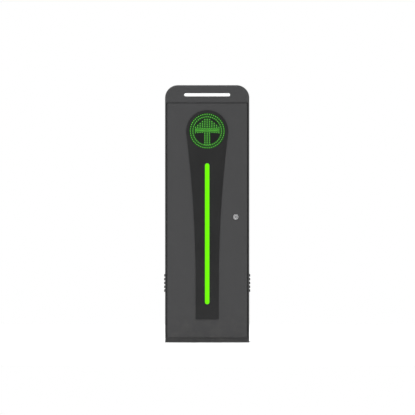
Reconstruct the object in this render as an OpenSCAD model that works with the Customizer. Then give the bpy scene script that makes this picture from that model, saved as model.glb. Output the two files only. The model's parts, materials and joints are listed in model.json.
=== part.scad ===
// Car-park barrier cabinet: a folded-steel street cabinet with a lit sign door
// and the spring-balanced boom drive inside. Front faces -Y, +Z is up.
// The origin is the centre of the base on the ground.

/* [Cabinet] */
// Overall width of the cabinet
cabinet_w = 330; // [290:1:400]
// Overall depth of the cabinet body
cabinet_d = 290; // [270:1:350]
// Overall height to the top of the cover
cabinet_h = 1009; // [960:1:1250]
// Thickness of the folded sheet
sheet_t = 2; // [1.5:0.1:2.4]
// Outside radius of the vertical folds
fold_r = 3; // [2.6:0.1:6]
// Height of the top cover
cover_h = 66.5; // [58:0.5:90]
// Radius of the cover's shoulders
cover_r = 50; // [30:1:55]
// Thickness of the rubber seal under the cover
seal_t = 1.5; // [1:0.1:3]
// step of the seal behind the cover's sides
seal_inset = 1; // [0.5:0.5:4]

/* [Base] */
// Thickness of the base plate
base_t = 6.5; // [5:0.5:12]
// Height of the recessed plinth band
plinth_h = 11.5; // [8:0.5:25]
// How far the plinth band is set back
plinth_inset = 4; // [2:0.5:8]
// step of the plinth below the sides
plinth_side = 0.3; // [0.2:0.1:4]
// Width of the bars in the base
base_bar = 40; // [34:1:50]
// Distance of the anchor holes from the cabinet's sides
anchor_side = 20; // [18:0.5:22]
// Distance of the anchor holes from the front and back
anchor_end = 33; // [30:0.5:36]
// Anchor hole diameter
anchor_d = 14; // [10:0.5:18]

/* [Door] */
// Gap all round the door
door_gap = 1.5; // [1:0.1:2]
// Depth of the door's folded edges
door_depth = 14; // [12:0.5:15]
// Height of the door's lower edge above the plinth
door_low = 3; // [2.5:0.5:8]
// Width of the flange that the door closes on
rebate_w = 26; // [24:1:30]
// Hinge pin diameter
hinge_d = 5; // [4:0.5:6]
// Height of the lock above the ground
lock_z = 492; // [420:1:560]
// Distance of the lock from the middle
lock_x = 112.5; // [100:0.5:114]
// Diameter of the lock's face ring
lock_ring_d = 21; // [18:0.5:24]

/* [Sign and light] */
// Distance from the top of the cabinet down to the sign and the boom shaft
sign_drop = 180; // [165:1:200]
// Radius of the round head of the front panel
panel_r = 82; // [76:1:88]
// Half width of the straight lower part of the front panel
panel_neck = 44.8; // [35:0.1:55]
// Height of the panel's lower edge
panel_low = 91.5; // [60:0.5:120]
// Height at which the panel's sides begin to spread
panel_flare = 230; // [180:1:280]
// Thickness of the front panel
panel_t = 3; // [2:0.5:5]
// Radius of the sign window
sign_r = 71; // [66:0.5:73]
// Width of the light bar
light_w = 17.4; // [12:0.1:24]
// Height of the light bar's lower end
light_low = 150.5; // [120:0.5:190]
// Distance from the sign's centre down to the light bar's upper end
light_drop = 126.5; // [115:0.5:150]

/* [Vents] */
// Number of vent slots on each side
vent_n = 5; // [3:1:7]
// Distance between vent slots
vent_pitch = 15; // [14:0.5:20]
// Height of the lowest vent
vent_z = 198; // [150:1:240]
// Length of each vent
vent_l = 150; // [100:1:180]
// How far each vent hood stands out
vent_out = 4; // [3:0.1:6]
// height of each vent hood
vent_h = 10; // [8:0.5:11]

/* [Drive] */
// Diameter of the boom shaft
shaft_d = 40; // [32:1:44]
// Distance from the boom shaft down to the gearbox shaft
drive_drop = 300; // [280:1:320]
// Diameter of the gearbox output shaft
output_d = 28; // [22:1:32]
// Crank radius, the same on lever and crank
crank_r = 60; // [54:1:64]
// Radius of the spring pin on the lever
spring_arm = 80; // [76:1:86]
// Length of each balance spring, shaft level or boom down
spring_l = 350; // [320:1:360]
// Outside diameter of each balance spring
spring_d = 30; // [24:1:32]
// Thickness of the lever and crank plates
lever_t = 12; // [8:1:14]
// Thickness of the chassis plates
chassis_t = 8; // [6:1:10]
// Diameter of the boom flange
flange_d = 120; // [110:1:150]
// Pitch circle of the boom flange's bolts
flange_pcd = 90; // [80:1:94]
// Hole diameter in the boom flange
flange_hole_d = 12.5; // [9:0.5:14]
// Diameter of the hand wheel
wheel_d = 70; // [50:1:74]

/* [Fits] */
// Running clearance on the radius of shafts and pins
run = 0.05; // [0.02:0.01:0.1]
// Clearance between pieces that only lie close
near_gap = 0.3; // [0.2:0.05:0.5]

/* [Hidden] */
$fn = 64;
half_w = cabinet_w / 2;
half_d = cabinet_d / 2;
anchor_x = cabinet_w - 2 * anchor_side;
anchor_y = cabinet_d - 2 * anchor_end;
front_y = -half_d;
floor_z = base_t + plinth_h;
shell_top = cabinet_h - cover_h - seal_t;
sign_z = cabinet_h - sign_drop;
gear_z = sign_z - drive_drop;
inner_x = half_w - sheet_t;
back_y = half_d - sheet_t;
// the jamb is the flat lip beside the front fold, and the door closes inside it
jamb_x = half_w - fold_r - sheet_t;
rebate_x = jamb_x - rebate_w;
rebate_y = front_y + door_depth + 6;
door_half = jamb_x - door_gap;
door_z0 = floor_z + door_low;
door_z1 = shell_top - sheet_t - door_gap;
hinge_x = -door_half + 7.5;
hinge_y = front_y + 7;
knuckle_r = hinge_d / 2 + 2;
hinge_h = 60;
hinge_zs = [door_z0 + 110, door_z1 - 110 - hinge_h];
panel_front = front_y - panel_t;
// one arc is tangent to the straight lower side and to the round head
flare_h = sign_z - panel_flare;
flare_r = (pow(panel_neck, 2) + pow(flare_h, 2) - pow(panel_r, 2)) / (2 * (panel_r - panel_neck));
touch_a = atan2(flare_h, panel_neck + flare_r);
light_high = sign_z - light_drop;
// depths of the drive, from front to back
lever_y0 = front_y + 119;
hub_y1 = lever_y0 + 40;
cam_y0 = hub_y1 + 2;
plate_y0 = hub_y1 + 12;
plate_y1 = plate_y0 + chassis_t;
rear_y0 = half_d - 27;
rear_y1 = rear_y0 + chassis_t;
rod_y0 = lever_y0 - 20;
rod_t = 14;
worm_z = gear_z - 44;
worm_y = plate_y1 + 38;
chassis_half = half_w - 11;
chassis_top = sign_z + 76;
lower_z = gear_z - 100;
upright_t = 4;
bolt_r = 4;
bolt_zs = [sign_z - 160, sign_z + 50];
rest_a = 225;
pin_x = crank_r * cos(rest_a);
pin_z = crank_r * sin(rest_a);
spring_x = spring_arm * cos(45);
spring_pin_z = sign_z + spring_arm * sin(45);
link_l = 30;
// the spring's end rings, wide enough to join its outer turns
hook_r = spring_d / 2 - 5.5;
spring_top = spring_pin_z - link_l;
spring_bottom = spring_top - spring_l;
spring_step = 24;
spring_ys = [lever_y0 + lever_t / 2 - spring_step, lever_y0 + lever_t / 2 + spring_step];
pin_r = 5;
worm_wheel_r = 30;
electric_z0 = floor_z + 44;
electric_z1 = lower_z - 40;
rail_z = electric_z0 + 50;
rail_half = chassis_half - 24;
// screws of the top cover
cover_bolt_x = half_w - 20;
cover_bolt_y = half_d - 30;
cover_bolt_hole = 3.2;
// openings in the shell's floor, in its top and in the cover's floor
floor_x = half_w - base_bar;
floor_y = half_d - base_bar;
top_y0 = front_y + 50;
top_y1 = half_d - 40;
light_slot = light_w + 2 * near_gap;
sign_rings = [sign_r - 5, sign_r - 15];
dot_r = 1.6;
arrow_scale = 0.94 * sign_r / 71;
bearing_r = shaft_d / 2 + 18;
bearing_reach = shaft_d / 2 + 28;
plate_half = chassis_half - 34;
gear_x0 = -58;
gear_x1 = 92;
arm_w = 24;
buffer_r = 10;
buffer_reach = 48;
buffer_off = arm_w / 2 + buffer_r + 0.6;
sensor_xs = [2, 24];
sensor_y = cam_y0 + 2;
sensor_r = 5;
worm_r = 8;
gland_xs = [-50, 0, 50];
gland_y = 20;
rod_cap_r = 13;
shackle_t = 3;
shackle_pin_z = spring_top + 6;
flange_y0 = half_d + 4;

steel_grey = [0.29, 0.29, 0.3];
zinc = [0.72, 0.73, 0.74];
rubber_black = [0.06, 0.06, 0.06];
led_green = [0.35, 0.95, 0.1];

module block(x0, x1, y0, y1, z0, z1) {
    translate([x0, y0, z0]) cube([x1 - x0, y1 - y0, z1 - z0]);
}

// extrudes an outline drawn in X and Z from y0 to y1
module along_y(y0, y1) {
    translate([0, y1, 0]) rotate([90, 0, 0]) linear_extrude(y1 - y0) children();
}

module bar_y(x, z, r, y0, y1) {
    translate([x, y1, z]) rotate([90, 0, 0]) cylinder(r = r, h = y1 - y0);
}

module bar_x(y, z, r, x0, x1) {
    translate([x0, y, z]) rotate([0, 90, 0]) cylinder(r = r, h = x1 - x0);
}

module bar_z(x, y, r, z0, z1) {
    translate([x, y, z0]) cylinder(r = r, h = z1 - z0);
}

module plan(w, d, r) {
    square([w - 2 * r, d], center = true);
    square([w, d - 2 * r], center = true);
    for (sx = [-1, 1], sy = [-1, 1])
        translate([sx * (w / 2 - r), sy * (d / 2 - r)]) circle(r);
}

module slot_outline(w, z0, z1) {
    translate([-w / 2, z0 + w / 2]) square([w, z1 - z0 - w]);
    translate([0, z0 + w / 2]) circle(w / 2);
    translate([0, z1 - w / 2]) circle(w / 2);
}

module frame_ring(x_out, z0, z1, x_in, margin, y0, y1) {
    difference() {
        block(-x_out, x_out, y0, y1, z0, z1);
        block(-x_in, x_in, y0 - 1, y1 + 1, z0 + margin, z1 - margin);
    }
}

// ---- cabinet ----

module base_frame() color(steel_grey) difference() {
    union() {
        linear_extrude(base_t) plan(cabinet_w, cabinet_d, fold_r);
        linear_extrude(floor_z) plan(cabinet_w - 2 * plinth_side, cabinet_d - 2 * plinth_inset, fold_r);
    }
    block(-floor_x, floor_x, -floor_y, floor_y, -1, floor_z + 1);
    for (sx = [-1, 1], sy = [-1, 1])
        bar_z(sx * anchor_x / 2, sy * anchor_y / 2, anchor_d / 2, -1, floor_z + 1);
}

module vent_hood(side) {
    for (i = [0 : vent_n - 1])
        translate([side * half_w, 0, vent_z + i * vent_pitch]) mirror([side < 0 ? 1 : 0, 0, 0])
            difference() {
                along_y(-vent_l / 2, vent_l / 2)
                    polygon([[-0.5, vent_h], [vent_out, vent_h - 1.6], [vent_out, 0], [-0.5, 0]]);
                along_y(-vent_l / 2 + 1.2, vent_l / 2 - 1.2)
                    polygon([[-1, vent_h - 1.6], [vent_out - 1.2, vent_h - 2.8], [vent_out - 1.2, -1], [-1, -1]]);
            }
}

module cabinet_shell() color(steel_grey) difference() {
    union() {
        difference() {
            translate([0, 0, floor_z]) linear_extrude(shell_top - floor_z)
                plan(cabinet_w, cabinet_d, fold_r);
            translate([0, 0, floor_z + sheet_t]) linear_extrude(shell_top - floor_z - 2 * sheet_t)
                plan(cabinet_w - 2 * sheet_t, cabinet_d - 2 * sheet_t, fold_r - sheet_t);
            block(-jamb_x, jamb_x, front_y - 1, front_y + fold_r + 1, floor_z + sheet_t,
                shell_top - sheet_t);
            // openings in the floor and in the top
            block(-floor_x, floor_x, -floor_y, floor_y, floor_z - 1, floor_z + 3);
            block(-rebate_x, rebate_x, top_y0, top_y1, shell_top - 3, shell_top + 1);
        }
        for (sx = [-1, 1])
            block(sx < 0 ? -jamb_x - sheet_t : jamb_x, sx < 0 ? -jamb_x : jamb_x + sheet_t,
                front_y + 0.5, rebate_y, floor_z + 1, shell_top - 1);
        frame_ring(jamb_x + 1, floor_z + 1, shell_top - 1, rebate_x, rebate_w, rebate_y - sheet_t,
            rebate_y);
        for (side = [-1, 1]) vent_hood(side);
    }
    for (sx = [-1, 1], i = [0 : vent_n - 1])
        translate([sx * (half_w - sheet_t / 2), 0, vent_z + i * vent_pitch + 3])
            cube([sheet_t + 1.2, vent_l - 6, 5], center = true);
    bar_y(0, sign_z, shaft_d / 2 + 14, half_d - 10, half_d + 1);
    for (sx = [-1, 1], sy = [-1, 1]) {
        bar_z(sx * anchor_x / 2, sy * anchor_y / 2, anchor_d / 2 + 1, floor_z - 1, floor_z + 3);
        bar_z(sx * cover_bolt_x, sy * cover_bolt_y, cover_bolt_hole, shell_top - 3, shell_top + 1);
    }
}

module cover_outline(inset) {
    w = cabinet_w - 2 * inset;
    h = cover_h - inset;
    r = cover_r - inset;
    intersection() {
        translate([-w / 2, 0]) square([w, h]);
        union() {
            translate([-w / 2, 0]) square([w, h - r]);
            translate([-w / 2 + r, 0]) square([w - 2 * r, h]);
            for (sx = [-1, 1]) translate([sx * (w / 2 - r), h - r]) circle(r);
        }
    }
}

module top_cover() color(steel_grey) difference() {
    translate([0, 0, shell_top + seal_t]) difference() {
        along_y(front_y, half_d) cover_outline(0);
        along_y(front_y + sheet_t, half_d - sheet_t) difference() {
            cover_outline(sheet_t);
            translate([-half_w, -1]) square([cabinet_w, sheet_t + 1]);
        }
        block(-rebate_x, rebate_x, top_y0, top_y1, -1, sheet_t + 1);
    }
    for (sx = [-1, 1], sy = [-1, 1])
        bar_z(sx * cover_bolt_x, sy * cover_bolt_y, cover_bolt_hole, shell_top,
            shell_top + seal_t + sheet_t + 1);
}

module cover_seal() color(rubber_black) difference() {
    translate([0, 0, shell_top]) linear_extrude(seal_t) plan(cabinet_w - 2 * seal_inset, cabinet_d - 2 * seal_inset, fold_r - seal_inset / 2);
    block(-rebate_x, rebate_x, top_y0, top_y1, shell_top - 1, shell_top + seal_t + 1);
    for (sx = [-1, 1], sy = [-1, 1])
        bar_z(sx * cover_bolt_x, sy * cover_bolt_y, cover_bolt_hole, shell_top - 1, shell_top + seal_t + 1);
}

module cover_screws() color(zinc) for (sx = [-1, 1], sy = [-1, 1]) {
    bar_z(sx * cover_bolt_x, sy * cover_bolt_y, cover_bolt_hole - 0.3, shell_top - 10,
        shell_top + seal_t + 12);
    translate([sx * cover_bolt_x, sy * cover_bolt_y, shell_top - sheet_t - 5])
        cylinder(r = 5.5, h = 5, $fn = 6);
    translate([sx * cover_bolt_x, sy * cover_bolt_y, shell_top + seal_t + sheet_t])
        cylinder(r = 5.5, h = 5, $fn = 6);
}

module blank_badge() color("white") along_y(front_y - 1.2, front_y) {
    translate([-84, sign_z + 136]) square([168, 12]);
    for (sx = [-1, 1]) translate([sx * 84, sign_z + 142]) circle(6);
}

module door_gasket() color(rubber_black) frame_ring(rebate_x + 8, floor_z + 20, shell_top - 20,
    rebate_x + 2, 6, front_y + door_depth + near_gap, rebate_y - sheet_t);

// ---- door ----

module hinge_frame_leaves() color(zinc) for (z = hinge_zs) difference() {
    union() {
        bar_z(hinge_x, hinge_y, knuckle_r, z + hinge_h / 3 + near_gap, z + 2 * hinge_h / 3 - near_gap);
        block(hinge_x + 0.5, hinge_x + 3.5, hinge_y, rebate_y - sheet_t,
            z + hinge_h / 3 + near_gap, z + 2 * hinge_h / 3 - near_gap);
    }
    bar_z(hinge_x, hinge_y, hinge_d / 2, z, z + hinge_h);
}

module hinge_pins() color(zinc) for (z = hinge_zs)
    bar_z(hinge_x, hinge_y, hinge_d / 2, z - 4, z + hinge_h + 4);

module hinge_door_leaves() color(zinc) for (z = hinge_zs, k = [0, 2]) difference() {
    union() {
        bar_z(hinge_x, hinge_y, knuckle_r, z + k * hinge_h / 3, z + (k + 1) * hinge_h / 3);
        block(hinge_x, hinge_x + 26, front_y + sheet_t, front_y + sheet_t + 2.5,
            z + k * hinge_h / 3, z + (k + 1) * hinge_h / 3);
    }
    bar_z(hinge_x, hinge_y, hinge_d / 2 + run, z - 1, z + hinge_h + 1);
}

module door_plan(inset) {
    r = 5 - inset;
    x = door_half - inset;
    translate([-x + r, front_y + inset]) square([2 * x - 2 * r, r]);
    translate([-x, front_y + inset + r]) square([2 * x, door_depth - inset - r]);
    for (sx = [-1, 1]) translate([sx * (x - r), front_y + inset + r]) circle(r);
}

module front_door() color(steel_grey) difference() {
    translate([0, 0, door_z0]) linear_extrude(door_z1 - door_z0) door_plan(0);
    translate([0, 0, door_z0 + sheet_t]) linear_extrude(door_z1 - door_z0 - 2 * sheet_t)
        difference() {
            door_plan(sheet_t);
            translate([-half_w, front_y + door_depth]) square([cabinet_w, 9]);
        }
    block(-door_half + sheet_t, door_half - sheet_t, front_y + door_depth - 2, front_y + door_depth + 1,
        door_z0 + sheet_t, door_z1 - sheet_t);
    bar_y(0, sign_z, sign_r + near_gap, front_y - 1, front_y + 6);
    along_y(front_y - 1, front_y + 6) slot_outline(light_slot, light_low - near_gap, light_high + near_gap);
    bar_y(lock_x, lock_z, 8 + run, front_y - 1, front_y + 6);
    // the folded edge is cut away where the fixed knuckles pass
    for (z = hinge_zs) block(-door_half - 1, hinge_x - knuckle_r - 0.1,
        front_y + 5.5, front_y + door_depth + 1, z + hinge_h / 3 - 2, z + 2 * hinge_h / 3 + 2);
}

module door_ribs() color(steel_grey) for (z = [panel_low + 10, panel_flare + 60, lock_z + 70])
    difference() {
    block(-door_half + 22, door_half - 22, front_y + sheet_t, front_y + sheet_t + 9, z, z + 22);
    block(-door_half + 20, door_half - 20, front_y + sheet_t - 1, front_y + sheet_t + 7.5, z + 5, z + 17);
    block(-16, 16, front_y, front_y + 20, z - 1, z + 23);
}

module panel_outline() {
    steps = 20;
    side = [for (i = [0 : steps]) let (a = touch_a * i / steps)
        [panel_neck + flare_r * (1 - cos(a)), panel_flare + flare_r * sin(a)]];
    // the head runs from the touching point on the right, over the top, to the one on the left
    head = [for (i = [1 : 2 * steps - 1]) let (a = -touch_a + (180 + 2 * touch_a) * i / (2 * steps))
        [panel_r * cos(a), sign_z + panel_r * sin(a)]];
    polygon(concat([[panel_neck, panel_low]], side, head,
        [for (i = [steps : -1 : 0]) [-side[i][0], side[i][1]]], [[-panel_neck, panel_low]]));
}

module fascia_panel() color([0.09, 0.09, 0.09]) difference() {
    along_y(panel_front, front_y) panel_outline();
    bar_y(0, sign_z, sign_r + near_gap, panel_front - 1, front_y + 1);
    along_y(panel_front - 1, front_y + 1) slot_outline(light_slot, light_low - near_gap,
        light_high + near_gap);
}

module sign_board() color([0.03, 0.03, 0.03]) bar_y(0, sign_z, sign_r, panel_front + 1.4, front_y + 6);

module arrow_outline() {
    polygon([[0, 54], [47, 20], [47, -7], [12.3, -3], [12.3, -54],
        [-12.3, -54], [-12.3, -3], [-47, -7], [-47, 20]]);
}

module sign_leds() color(led_green) translate([0, 0, sign_z])
    along_y(panel_front + 0.2, panel_front + 1.4) {
    for (r = sign_rings) difference() {
        circle(r + dot_r);
        circle(r - dot_r);
    }
    scale(arrow_scale) arrow_outline();
}

module sign_housing() color([0.1, 0.1, 0.1]) difference() {
    bar_y(0, sign_z, sign_r + 7, front_y + sheet_t, front_y + 32);
    bar_y(0, sign_z, sign_r + 4.5, front_y + sheet_t - 1, front_y + 29.5);
    for (a = [40 : 20 : 140]) translate([0, 0, sign_z]) rotate([0, -a, 0])
        block(sign_r - 4, sign_r + 12, front_y + 14, front_y + 24, -4, 4);
}

module light_diffuser() color(led_green) along_y(panel_front - 1, front_y + 8)
    slot_outline(light_w, light_low, light_high);

module light_channel() color(zinc) difference() {
    block(-14, 14, front_y + sheet_t, front_y + 18, light_low - 6, light_high + 6);
    block(-light_slot / 2, light_slot / 2, front_y, front_y + 12, light_low - near_gap,
        light_high + near_gap);
    for (sx = [-1, 1]) block(sx * 14 - 3, sx * 14 + 3, front_y + 5, front_y + 15, light_low - 9,
        light_high + 9);
}

module lock_housing() color(zinc) difference() {
    union() {
        bar_y(lock_x, lock_z, lock_ring_d / 2, front_y - 2.2, front_y);
        bar_y(lock_x, lock_z, 8, front_y - 1, front_y + 19);
        translate([lock_x, front_y + sheet_t + 4, lock_z]) rotate([90, 0, 0]) cylinder(r = 12, h = 4, $fn = 6);
    }
    bar_y(lock_x, lock_z, 5 + run, front_y - 4, front_y + 20);
}

module lock_barrel() color([0.6, 0.6, 0.6]) difference() {
    bar_y(lock_x, lock_z, 5, front_y - 1.8, front_y + 27);
    block(lock_x - 0.7, lock_x + 0.7, front_y - 3, front_y + 6, lock_z - 3, lock_z + 3);
}

module lock_cam() color(zinc) difference() {
    union() {
        bar_y(lock_x, lock_z, 9, rebate_y + 1, rebate_y + 4);
        block(lock_x - 6, lock_x + 6, rebate_y + 1, rebate_y + 4, lock_z - 28, lock_z);
    }
    bar_y(lock_x, lock_z, 5, rebate_y, rebate_y + 5);
}

// ---- frame inside ----

module bolt_holes() for (sx = [-1, 1], z = bolt_zs)
    bar_y(sx * (chassis_half - 12), z, bolt_r + near_gap, rear_y0 - 1, rear_y1 + upright_t + 1);

module support_uprights() color(zinc) difference() {
    for (sx = [-1, 1]) mirror([sx < 0 ? 1 : 0, 0, 0]) upright();
    bolt_holes();
}

module upright() {
    block(chassis_half - 24, inner_x - near_gap - 2, rear_y1, rear_y1 + upright_t, floor_z + sheet_t,
        chassis_top);
    block(inner_x - near_gap - 2 - upright_t, inner_x - near_gap - 2, rear_y1, back_y - 1.3,
        floor_z + sheet_t, chassis_top);
}

module chassis() color([0.5, 0.52, 0.53]) difference() {
    union() {
        block(-plate_half, plate_half, plate_y0, plate_y1, sign_z - 190, chassis_top);
        block(gear_x0, gear_x1, plate_y0, plate_y1, lower_z, sign_z - 189);
        block(-chassis_half, chassis_half, rear_y0, rear_y1, sign_z - 190, chassis_top);
        block(gear_x0, gear_x1, rear_y0, rear_y1, lower_z, sign_z - 189);
        for (x = [-plate_half, plate_half - 6]) block(x, x + 6, plate_y1 - 1, rear_y0 + 1, sign_z - 190,
            chassis_top);
        block(gear_x0, gear_x1, plate_y1 - 1, rear_y0 + 1, lower_z, lower_z + 6);
    }
    bar_y(0, sign_z, shaft_d / 2 + 8, plate_y0 - 1, rear_y1 + 1);
    bar_y(0, gear_z, output_d / 2 + 5, plate_y0 - 1, plate_y1 + 1);
    bolt_holes();
}

module chassis_bolts() color(zinc) for (sx = [-1, 1], z = bolt_zs) {
    bar_y(sx * (chassis_half - 12), z, bolt_r, rear_y0, rear_y1 + upright_t);
    translate([sx * (chassis_half - 12), rear_y0, z]) rotate([90, 0, 0]) cylinder(r = 7.5, h = 6, $fn = 6);
}

module flange_bearing(y0, y1) difference() {
    union() {
        bar_y(0, sign_z, bearing_r, y0, y1);
        for (a = [45 : 90 : 315]) translate([0, 0, sign_z]) rotate([0, a, 0]) {
            block(0, bearing_reach, y0, y0 + 8, -9.5, 9.5);
            bar_y(bearing_reach, 0, 10, y0, y0 + 8);
        }
    }
    bar_y(0, sign_z, shaft_d / 2 + run, y0 - 1, y1 + 1);
}

module shaft_bearings() color([0.25, 0.35, 0.42]) {
    flange_bearing(plate_y1, plate_y1 + 24);
    translate([0, rear_y0, 0]) mirror([0, 1, 0]) flange_bearing(0, 24);
}

module shaft_seal() color(rubber_black) difference() {
    bar_y(0, sign_z, shaft_d / 2 + 13.7, half_d - sheet_t, half_d);
    bar_y(0, sign_z, shaft_d / 2 + near_gap, half_d - sheet_t - 1, half_d + 1);
}

module gearbox_case() color([0.55, 0.57, 0.58]) difference() {
    union() {
        block(-50, 50, plate_y1, plate_y1 + 72, gear_z - 78, gear_z + 52);
        block(-56, 0, plate_y1, plate_y1 + 10, gear_z - 70, gear_z - 58);
        block(-56, 56, plate_y1, plate_y1 + 10, gear_z + 34, gear_z + 46);
    }
    bar_y(0, gear_z, 44, plate_y1 + 16, plate_y1 + 60);
    bar_x(worm_y, worm_z, 22, -40, 40);
    bar_y(0, gear_z, output_d / 2 + run, plate_y1 - 1, plate_y1 + 66);
    bar_x(worm_y, worm_z, worm_r + run, -60, 60);
}

module motor_case() color([0.2, 0.22, 0.24]) difference() {
    union() {
        bar_x(worm_y, worm_z, 34, 50, 132);
        bar_x(worm_y, worm_z, 30, 132, 142);
        for (a = [0 : 20 : 340]) translate([0, worm_y, worm_z]) rotate([a, 0, 0])
            block(58, 126, -1, 1, 30, 37.5);
    }
    bar_x(worm_y, worm_z, worm_r + run, 49, 136);
}

module stop_buffers() for (a = [rest_a, 135]) {
    s = a == 135 ? -1 : 1;
    x = buffer_reach * cos(a) + buffer_off * cos(a + s * 90);
    z = sign_z + buffer_reach * sin(a) + buffer_off * sin(a + s * 90);
    color(zinc) bar_y(x, z, 5, lever_y0 - 4, plate_y0);
    color(rubber_black) difference() {
        bar_y(x, z, buffer_r, lever_y0 - 2, lever_y0 + 16);
        bar_y(x, z, 5, lever_y0 - 3, lever_y0 + 17);
    }
}

module spring_bracket() color(zinc) difference() {
    union() {
        block(spring_x - 22, spring_x + 22, lever_y0 - 38, plate_y0, spring_bottom - 56,
            spring_bottom - 48);
        block(spring_x - 22, spring_x + 22, plate_y0 - 6, plate_y0, spring_bottom - 96, spring_bottom - 50);
        for (sx = [-1, 1]) translate([spring_x + sx * 19.5, 0, 0]) rotate([90, 0, -90])
            translate([0, 0, -2.5])
            linear_extrude(5)
                polygon([[-plate_y0, spring_bottom - 96], [-plate_y0, spring_bottom - 50], [36 - lever_y0, spring_bottom - 50]]);
    }
    for (y = spring_ys) bar_z(spring_x, y, 5.3, spring_bottom - 60, spring_bottom - 40);
}

module eye(x, y, z, r_in, wire) {
    translate([x, y, z]) rotate([90, 0, 0]) rotate_extrude() translate([r_in + wire, 0])
        circle(wire, $fn = 24);
}

module spring_eye_bolts() color(zinc) for (y = spring_ys) {
    bar_z(spring_x, y, 5, spring_bottom - 82, spring_bottom - 15);
    eye(spring_x, y, spring_bottom - 7, 5, 3);
    translate([spring_x, y, spring_bottom - 66]) cylinder(r = 9, h = 9.7, $fn = 6);
    translate([spring_x, y, spring_bottom - 47.7]) cylinder(r = 9, h = 7, $fn = 6);
}

module hook(y, z) {
    translate([spring_x, y, z]) rotate([0, 90, 0]) rotate_extrude() translate([hook_r, 0])
        circle(2, $fn = 24);
}

module balance_springs() color([0.35, 0.35, 0.37]) for (y = spring_ys) {
    difference() {
        bar_z(spring_x, y, spring_d / 2, spring_bottom + 4, spring_top - 4);
        bar_z(spring_x, y, spring_d / 2 - 5, spring_bottom + 3, spring_top - 3);
    }
    hook(y, spring_bottom - 4.3 + hook_r);
    hook(y, spring_top + 5.4 - hook_r);
}

module limit_sensors() {
    color(zinc) difference() {
        block(-8, 34, cam_y0 - 4, plate_y0, sign_z + 60, sign_z + 74);
        for (x = sensor_xs) bar_z(x, sensor_y, sensor_r + near_gap, sign_z + 50, sign_z + 90);
    }
    color("gold") for (x = sensor_xs) {
        bar_z(x, sensor_y, sensor_r, sign_z + bearing_r + 4, sign_z + 92);
        translate([x, sensor_y, sign_z + 74]) cylinder(r = 7.6, h = 4, $fn = 6);
    }
}

module mounting_plate() color(zinc) block(-chassis_half, chassis_half, rear_y1 - 2, rear_y1,
    electric_z0, electric_z1);

module din_rail() color(zinc) {
    block(-rail_half, rail_half, rear_y1 - 4, rear_y1 - 2, rail_z - 13, rail_z + 13);
    block(-rail_half, rail_half, rear_y1 - 10, rear_y1 - 4, rail_z - 13, rail_z - 11.5);
    block(-rail_half, rail_half, rear_y1 - 10, rear_y1 - 4, rail_z + 11.5, rail_z + 13);
    block(-rail_half, rail_half, rear_y1 - 10, rear_y1 - 8.5, rail_z - 17.5, rail_z - 11.5);
    block(-rail_half, rail_half, rear_y1 - 10, rear_y1 - 8.5, rail_z + 11.5, rail_z + 17.5);
}

rail_y = rear_y1 - 10.3;
breaker_x = -rail_half + 18;

module circuit_breaker() color([0.85, 0.85, 0.84]) difference() {
    union() {
        block(breaker_x, breaker_x + 36, rail_y - 44, rail_y, rail_z - 42, rail_z + 42);
        block(breaker_x, breaker_x + 36, rail_y - 62, rail_y - 43, rail_z - 22, rail_z + 22);
    }
    block(breaker_x + 7, breaker_x + 29, rail_y - 63, rail_y - 48, rail_z - 13, rail_z + 13);
}

module breaker_toggle() color([0.1, 0.1, 0.12]) {
    bar_x(rail_y - 56, rail_z, 5, breaker_x + 7 + near_gap, breaker_x + 29 - near_gap);
    translate([breaker_x + 18, rail_y - 56, rail_z]) rotate([-35, 0, 0]) block(-9, 9, -18, 0, -2.5, 2.5);
}

module terminal_row() color([0.62, 0.66, 0.6]) for (i = [0 : 11])
    block(breaker_x + 52 + i * 8, breaker_x + 59.4 + i * 8, rail_y - 38, rail_y, rail_z - 24, rail_z + 24);

ctrl_x0 = -chassis_half + 28;
ctrl_x1 = ctrl_x0 + 144;
ctrl_z0 = rail_z + 60;
ctrl_z1 = ctrl_z0 + 110;
ctrl_y = rear_y1 - 2 - 40;
button_z = ctrl_z0 + 24;
button_xs = [ctrl_x0 + 34, ctrl_x0 + 72, ctrl_x0 + 110];
button_r = 8;
supply_x0 = ctrl_x1 + 20;
supply_x1 = supply_x0 + 98;
supply_y = rear_y1 - 42;

module controller_case() color([0.13, 0.14, 0.16]) difference() {
    block(ctrl_x0, ctrl_x1, ctrl_y, rear_y1 - 2, ctrl_z0, ctrl_z1);
    for (x = button_xs) bar_y(x, button_z, button_r + 2 * near_gap, ctrl_y - 1, ctrl_y + 9);
    block(ctrl_x0 + 24, ctrl_x0 + 84, ctrl_y - 1, ctrl_y + 2, ctrl_z0 + 52, ctrl_z0 + 80);
}

module button(x) {
    bar_y(x, button_z, button_r, ctrl_y - 4, ctrl_y + 5);
}

module raise_button() color("green") button(button_xs[0]);
module stop_button() color("red") button(button_xs[1]);
module lower_button() color("gold") button(button_xs[2]);

module power_supply() color(zinc) difference() {
    block(supply_x0, supply_x1, supply_y, rear_y1 - 2, ctrl_z0, ctrl_z0 + 128);
    for (i = [0 : 8])
        block(supply_x0 + 12, supply_x1 - 12, supply_y - 1, supply_y + 2, ctrl_z0 + 20 + i * 11,
            ctrl_z0 + 25 + i * 11);
}

module gland_plate() color(zinc) difference() {
    block(-floor_x - 12, floor_x + 12, -floor_y - 12, floor_y + 12,
        floor_z + sheet_t, floor_z + 2 * sheet_t);
    for (x = gland_xs) bar_z(x, gland_y, 19, floor_z, floor_z + 9);
    for (sx = [-1, 1], sy = [-1, 1]) bar_z(sx * anchor_x / 2, sy * anchor_y / 2, 16, floor_z, floor_z + 9);
}

module cable_grommets() color(rubber_black) for (x = gland_xs) difference() {
    union() {
        bar_z(x, gland_y, 18.7, floor_z + sheet_t - 3, floor_z + 2 * sheet_t + 2);
        bar_z(x, gland_y, 24, floor_z + 2 * sheet_t, floor_z + 2 * sheet_t + 4);
    }
    bar_z(x, gland_y, 12, floor_z - 5, floor_z + 20);
}

// ---- boom shaft and drive ----

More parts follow.
